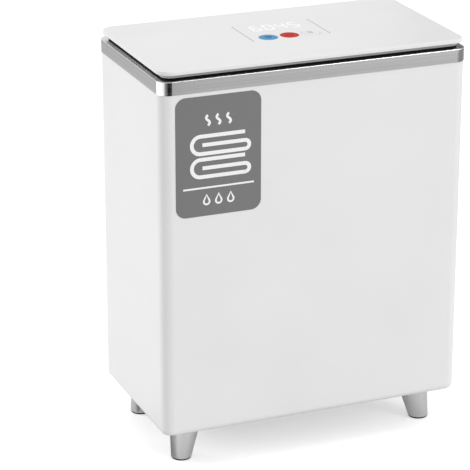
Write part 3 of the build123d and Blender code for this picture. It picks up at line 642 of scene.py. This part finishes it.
def build_screw_tree():
    """A cross-head screw on each point, its face at the point and its shank below."""
    tree, given, out = new_geometry_tree(
        "cross_screws", [("Head radius", "NodeSocketFloat", 2.8 * MM),
                         ("Neck radius", "NodeSocketFloat", 2.8 * MM),
                         ("Head height", "NodeSocketFloat", 1.6 * MM),
                         ("Crown", "NodeSocketFloat", 0.2),
                         ("Shank radius", "NodeSocketFloat", 1.5 * MM),
                         ("Length", "NodeSocketFloat", 8.0 * MM),
                         ("Facing", "NodeSocketVector", None),
                         ("Seed", "NodeSocketInt", 5),
                         ("Finish", "NodeSocketMaterial", None)])
    height, radius = given["Head height"], given["Head radius"]
    blank = node(tree, "GeometryNodeMeshCylinder",
                 {"Vertices": 24, "Side Segments": 3, "Radius": radius, "Depth": height})
    part = node(tree, "ShaderNodeSeparateXYZ",
                {0: node(tree, "GeometryNodeInputPosition").outputs[0]}).outputs
    rise = math_node(tree, "DIVIDE", part["Z"], height)
    neck = node(tree, "ShaderNodeMapRange",
                {"Value": rise, "From Min": -0.5, "From Max": 0.5,
                 "To Min": math_node(tree, "DIVIDE", given["Neck radius"], radius),
                 "To Max": 1.0}).outputs[0]
    crown = node(tree, "ShaderNodeMapRange",
                 {"Value": rise, "From Min": CROWN_START, "From Max": 0.5, "To Min": 1.0,
                  "To Max": math_node(tree, "SUBTRACT", 1.0, given["Crown"])}).outputs[0]
    narrowing = math_node(tree, "MINIMUM", neck, crown)
    moved = node(tree, "ShaderNodeCombineXYZ",
                 {"X": math_node(tree, "MULTIPLY", part["X"], narrowing),
                  "Y": math_node(tree, "MULTIPLY", part["Y"], narrowing),
                  "Z": math_node(tree, "SUBTRACT", part["Z"],
                                 math_node(tree, "MULTIPLY", height, 0.5))})
    head = node(tree, "GeometryNodeSetPosition",
                {"Geometry": blank.outputs["Mesh"], "Position": moved.outputs[0]})
    long_side = math_node(tree, "MULTIPLY", radius, CROSS_REACH)
    short_side = math_node(tree, "MULTIPLY", radius, CROSS_WIDTH)
    deep = math_node(tree, "MULTIPLY", height, CROSS_DEPTH)
    cutters = []
    for sides in ((long_side, short_side), (short_side, long_side)):
        size = node(tree, "ShaderNodeCombineXYZ", {"X": sides[0], "Y": sides[1], "Z": deep})
        cutters.append(node(tree, "GeometryNodeMeshCube", {"Size": size.outputs[0]}))
    cross = node(tree, "GeometryNodeMeshBoolean", operation="DIFFERENCE", solver="EXACT")
    tree.links.new(head.outputs[0], cross.inputs["Mesh 1"])
    for cutter in cutters:
        tree.links.new(cutter.outputs["Mesh"], cross.inputs["Mesh 2"])
    shank_length = math_node(tree, "SUBTRACT", given["Length"],
                             math_node(tree, "MULTIPLY", height, SHANK_START))
    shank = node(tree, "GeometryNodeMeshCylinder",
                 {"Vertices": 16, "Radius": given["Shank radius"], "Depth": shank_length})
    drop = math_node(tree, "MULTIPLY_ADD", shank_length, 0.5,
                     math_node(tree, "MULTIPLY", height, SHANK_START))
    below = node(tree, "ShaderNodeCombineXYZ", {"Z": math_node(tree, "MULTIPLY", drop, -1.0)})
    lowered = node(tree, "GeometryNodeTransform",
                   {"Geometry": shank.outputs["Mesh"], "Translation": below.outputs[0]})
    screw = node(tree, "GeometryNodeJoinGeometry")
    tree.links.new(cross.outputs[0], screw.inputs[0])
    tree.links.new(lowered.outputs[0], screw.inputs[0])
    screws = node(tree, "GeometryNodeInstanceOnPoints",
                  {"Points": given["Geometry"], "Instance": screw.outputs[0],
                   "Rotation": given["Facing"]})
    chance = node(tree, "FunctionNodeRandomValue", {3: math.radians(90), "Seed": given["Seed"]},
                  data_type="FLOAT")
    spin = node(tree, "ShaderNodeCombineXYZ", {"Z": chance.outputs[1]})
    turned = node(tree, "GeometryNodeRotateInstances",
                  {"Instances": screws.outputs[0], "Rotation": spin.outputs[0],
                   "Local Space": True})
    return close_tree(tree, given, out, turned.outputs[0])


CROSS_SCREWS = build_screw_tree()
print("the screw tree has", len(CROSS_SCREWS.nodes), "nodes")

# %% [markdown]
# ## Where the screws go
# Each group of screws shares one facing, so the tree turns them all alike. The
# places are millimetres on the bucket, and the plane that the heads lie in comes
# from the box of the solid screws that each group takes the place of.

# %% Set the screws
UP, DOWN, BACK = (0.0, 0.0, 0.0), (math.pi, 0.0, 0.0), (-math.pi / 2, 0.0, 0.0)
PAN = {"Head radius": 2.8 * MM, "Neck radius": 2.8 * MM, "Head height": 1.6 * MM, "Crown": 0.2}
SUNK = {"Head radius": 2.8 * MM, "Neck radius": 1.5 * MM, "Head height": 1.3 * MM, "Crown": 0.0}


def all_corners(x, y):
    """The same place in the four quarters of the bucket."""
    return [(x, y), (x, -y), (-x, y), (-x, -y)]


hinge_columns = [centre + step for centre in (-120.0, 120.0) for step in (-18.0, 0.0, 18.0)]
SCREWS = {
    "liner_screws": (PAN, UP, "bucket",
                     all_corners(150.0, 90.0) + [(0, 90), (0, -90), (177.5, 0), (-177.5, 0)]),
    "lid_screws": (SUNK, DOWN, "lid",
                   all_corners(152.0, 88.5) + [(0, 88.5), (0, -88.5), (176, 0), (-176, 0)]),
    "base_screws": (SUNK, DOWN, "bucket", all_corners(128.0, 45.0) + all_corners(60.0, 74.0)),
    "hinge_lid_screws": (SUNK, DOWN, "lid", [(x, 93.0) for x in hinge_columns]),
    "hinge_body_screws": (SUNK, BACK, "bucket", [(x, 478.0) for x in hinge_columns]),
    "inlet_screws": (PAN, BACK, "bucket", [(90.0, 75.0), (130.0, 75.0)]),
}
for node_name, (head, facing, body, places) in SCREWS.items():
    low, high = [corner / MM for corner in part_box(node_name)]
    if facing is BACK:
        points, length = [(x, high.y, z) for x, z in places], high.y - low.y
    else:
        face = high.z if facing is UP else low.z
        points, length = [(x, y, face) for x, y in places], high.z - low.z
    screws = baked(node_name + "_cross", point_cloud(node_name + "_cross", points), CROSS_SCREWS,
                   {**head, "Length": length * MM, "Facing": facing,
                    "Finish": FINISH["screw_steel"]})
    settle(screws, Matrix.Identity(4), body, [node_name])

# %% [markdown]
# ## The floor
# The bucket stands on a wide white floor. Rays from the camera and from gloss see
# it a little brighter than the matt surfaces do, so that it runs into the white
# backdrop without an edge. A part of that white glows by itself, which keeps the
# shadow under the bucket soft and grey.

# %% Lay the floor
FLOOR_RADIUS = 14.0
FLOOR_BOUNCE = 0.70             # the floor's white, as the bucket is lit by it
FLOOR_TO_CAMERA = (0.78, 0.49)  # the share that takes shadows, and the share that glows
FLOOR_TO_GLOSS = (0.92, 0.14)   # the same, as gloss and clear things see it
WHITE = (1.0, 1.0, 1.0, 1.0)


def floor_material():
    material = bpy.data.materials.new("floor")
    material.use_nodes = True
    tree = material.node_tree
    tree.nodes.clear()
    rays = node(tree, "ShaderNodeLightPath")
    camera_ray = rays.outputs["Is Camera Ray"]
    gloss_ray = math_node(tree, "MAXIMUM", rays.outputs["Is Glossy Ray"],
                          rays.outputs["Is Transmission Ray"])
    shade = math_node(tree, "MULTIPLY_ADD", camera_ray, FLOOR_TO_CAMERA[0] - FLOOR_BOUNCE,
                      math_node(tree, "MULTIPLY_ADD", gloss_ray,
                                FLOOR_TO_GLOSS[0] - FLOOR_BOUNCE, FLOOR_BOUNCE))
    white = node(tree, "ShaderNodeCombineColor", {"Red": shade, "Green": shade, "Blue": shade})
    diffuse = node(tree, "ShaderNodeBsdfDiffuse", {"Color": white.outputs[0]})
    lift = math_node(tree, "MULTIPLY_ADD", camera_ray, FLOOR_TO_CAMERA[1],
                     math_node(tree, "MULTIPLY", gloss_ray, FLOOR_TO_GLOSS[1]))
    glow = node(tree, "ShaderNodeEmission", {"Color": WHITE, "Strength": lift})
    both = node(tree, "ShaderNodeAddShader", {0: diffuse.outputs[0], 1: glow.outputs[0]})
    node(tree, "ShaderNodeOutputMaterial", {"Surface": both.outputs[0]})
    return material


def studio_floor():
    mesh = bpy.data.meshes.new("floor")
    shape = bmesh.new()
    bmesh.ops.create_circle(shape, cap_ends=True, segments=64, radius=FLOOR_RADIUS)
    shape.to_mesh(mesh)
    shape.free()
    made = bpy.data.objects.new("floor", mesh)
    scene.collection.objects.link(made)
    mesh.materials.append(floor_material())


studio_floor()
print("the floor is", 2 * FLOOR_RADIUS, "m across")

# %% [markdown]
# ## The world
# A white room surrounds the bucket and gives most of its light. The camera, gloss
# and clear things see it as pure white, while it lights matt surfaces a little
# less, which leaves room for the lamps. The plain view transform brings colours
# out as they are written.

# %% Light the world
WORLD_LIGHT = 0.72


def seen_by_eye(tree):
    """1 for rays from the camera, from gloss and through clear things, else 0."""
    rays = node(tree, "ShaderNodeLightPath")
    seen = math_node(tree, "MAXIMUM", rays.outputs["Is Camera Ray"],
                     rays.outputs["Is Glossy Ray"])
    return math_node(tree, "MAXIMUM", seen, rays.outputs["Is Transmission Ray"])


def studio_world():
    world = bpy.data.worlds.new("studio")
    world.use_nodes = True
    tree = world.node_tree
    tree.nodes.clear()
    strength = math_node(tree, "MULTIPLY_ADD", seen_by_eye(tree), 1.0 - WORLD_LIGHT, WORLD_LIGHT)
    sky = node(tree, "ShaderNodeBackground", {"Color": WHITE, "Strength": strength})
    node(tree, "ShaderNodeOutputWorld", {"Surface": sky.outputs[0]})
    scene.world = world


studio_world()
scene.view_settings.view_transform = "Standard"
print("the room lights matt surfaces with", WORLD_LIGHT, "of its white")

# %% [markdown]
# ## Lamps for the whole bucket
# Three soft boxes shape the white body: a small one high above, a narrow one from
# low at the back left, and a wide one to the right of the front. Two of them are
# hidden from gloss, so that the satin lid doesn't mirror them as a hot spot from
# another side.

# %% Hang the lamps for the whole bucket
def soft_box(name, place, aim, size, power, spread=180.0, diffuse=True, gloss=True, only=None):
    """A soft lamp in watts, which lights all pieces or `only` those of one collection."""
    lamp = bpy.data.lights.new(name, "AREA")
    lamp.shape = "RECTANGLE"
    lamp.size, lamp.size_y = size
    lamp.energy = power
    lamp.spread = math.radians(spread)
    holder = bpy.data.objects.new(name, lamp)
    holder.location = place
    holder.rotation_euler = (Vector(aim) - Vector(place)).to_track_quat("-Z", "Y").to_euler()
    holder.visible_camera = False
    holder.visible_diffuse = diffuse
    holder.visible_glossy = gloss
    holder.light_linking.receiver_collection = only
    scene.collection.objects.link(holder)
    print(name, "gives", power, "W to", "all pieces" if only is None else only.name)


soft_box("top_box", place=(0.95, -0.25, 2.4), aim=(0.0, 0.0, 0.4), size=(0.36, 0.36),
         power=4.5)
soft_box("left_box", place=(-2.2, 1.9, 1.0), aim=(-0.19, 0.0, 0.30), size=(1.2, 1.2),
         power=5.0, spread=60.0, gloss=False)
soft_box("right_box", place=(3.0, -4.0, 1.8), aim=(0.05, -0.1, 0.3), size=(2.0, 2.0),
         power=82.0, gloss=False)

# %% [markdown]
# ## Lamps for the metal and the gap
# Steel shows only what it mirrors, so a photographer lights it apart and keeps
# those lamps off the white with flags. Light linking does the same: a collection
# names the solids that a lamp may reach. The corner box and its dim neighbour lay
# the white stripe on the band's front corner and let it fade, the edge box draws
# the thin line along the band's top edge, and the shine box near the floor
# brightens the front and the feet towards the right. The gap box lights only the
# frame and the seal under the lid, which the top of the band mirrors.

# %% Hang the lamps for the metal and the gap
def lit_group(name, node_names):
    """A collection of solids that a lamp can be kept to."""
    group = bpy.data.collections.new(name)
    for node_name in node_names:
        group.objects.link(frame["nodes"][node_name])
    return group


bare_metal = lit_group("bare_metal", ("trim_band", "foot_front_left", "foot_front_right",
                                      "foot_rear_left", "foot_rear_right"))
lid_gap = lit_group("lid_gap", ("lid_frame", "lid_gasket"))

soft_box("corner_box", place=(-1.136, 0.219, 0.13), aim=(-0.19, -0.107, 0.13),
         size=(1.2, 0.24), power=3.6, diffuse=False, only=bare_metal)
soft_box("corner_glow", place=(-1.07, -0.50, 0.13), aim=(-0.19, -0.107, 0.13),
         size=(0.46, 0.24), power=0.72, diffuse=False, only=bare_metal)
soft_box("edge_box", place=(1.30, -0.85, 2.2), aim=(0.0, -0.1, 0.48),
         size=(1.6, 1.6), power=30.0, diffuse=False, only=bare_metal)
soft_box("shine_box", place=(2.6, -3.0, 0.35), aim=(0.1, -0.1, 0.2),
         size=(1.6, 0.6), power=24.0, diffuse=False, only=bare_metal)
soft_box("gap_box", place=(-1.5, 0.0, 0.53), aim=(-0.19, 0.0, 0.49),
         size=(1.0, 0.3), power=8.0, gloss=False, only=lid_gap)

# %% [markdown]
# ## Cards
# Cards of cloth stand round the bucket for the metal to mirror. The black card
# makes the dark stripe beside the white one, the grey one shades what lies left
# of it, and two at the right shade the far corner. The card on the floor is a
# painted shadow: the front left foot mirrors it in place of the floor's shadow
# beside the foot. Only gloss sees them: the camera and the matt surfaces don't,
# and they cast no shadow.

# %% Stand the cards up
CARD_LIFT = 1.0 * MM


def cloth_sheet(name, points, shade):
    """A sheet of cloth or card that only gloss can see."""
    mesh = bpy.data.meshes.new(name)
    mesh.from_pydata(points, [], [(0, 1, 2, 3)])
    made = bpy.data.objects.new(name, mesh)
    scene.collection.objects.link(made)
    cloth = bpy.data.materials.new(name)
    cloth.use_nodes = True
    shader = cloth.node_tree.nodes["Principled BSDF"]
    shader.inputs["Base Color"].default_value = (shade, shade, shade, 1.0)
    shader.inputs["Specular IOR Level"].default_value = 0.0
    mesh.materials.append(cloth)
    made.visible_camera = False
    made.visible_diffuse = False
    made.visible_shadow = False
    print(name, "is", shade, "white")


def card(name, start, end, low, high, shade):
    """A card that stands upright on the line from start to end."""
    cloth_sheet(name, [(*start, low), (*end, low), (*end, high), (*start, high)], shade)


def lying_card(name, low, high, shade):
    """A card that lies just above the floor, between two corners."""
    cloth_sheet(name, [(low[0], low[1], CARD_LIFT), (high[0], low[1], CARD_LIFT),
                       (high[0], high[1], CARD_LIFT), (low[0], high[1], CARD_LIFT)], shade)


card("grey_card", (-0.458, -0.404), (-0.343, -0.458), low=0.03, high=0.56, shade=0.50)
card("black_card", (-0.343, -0.458), (-0.080, -0.492), low=0.03, high=0.56, shade=0.01)
card("side_card", (0.47, -0.46), (0.85, 1.35), low=0.05, high=0.48, shade=0.66)
card("high_card", (0.62, 0.25), (0.85, 1.35), low=0.50, high=1.10, shade=0.15)
# The floor card is a painted shadow: the front left foot mirrors it in place of the floor's shade
# beside it.
lying_card("painted_floor_shadow", (-0.26, -0.085), (-0.17, 0.06), shade=0.35)
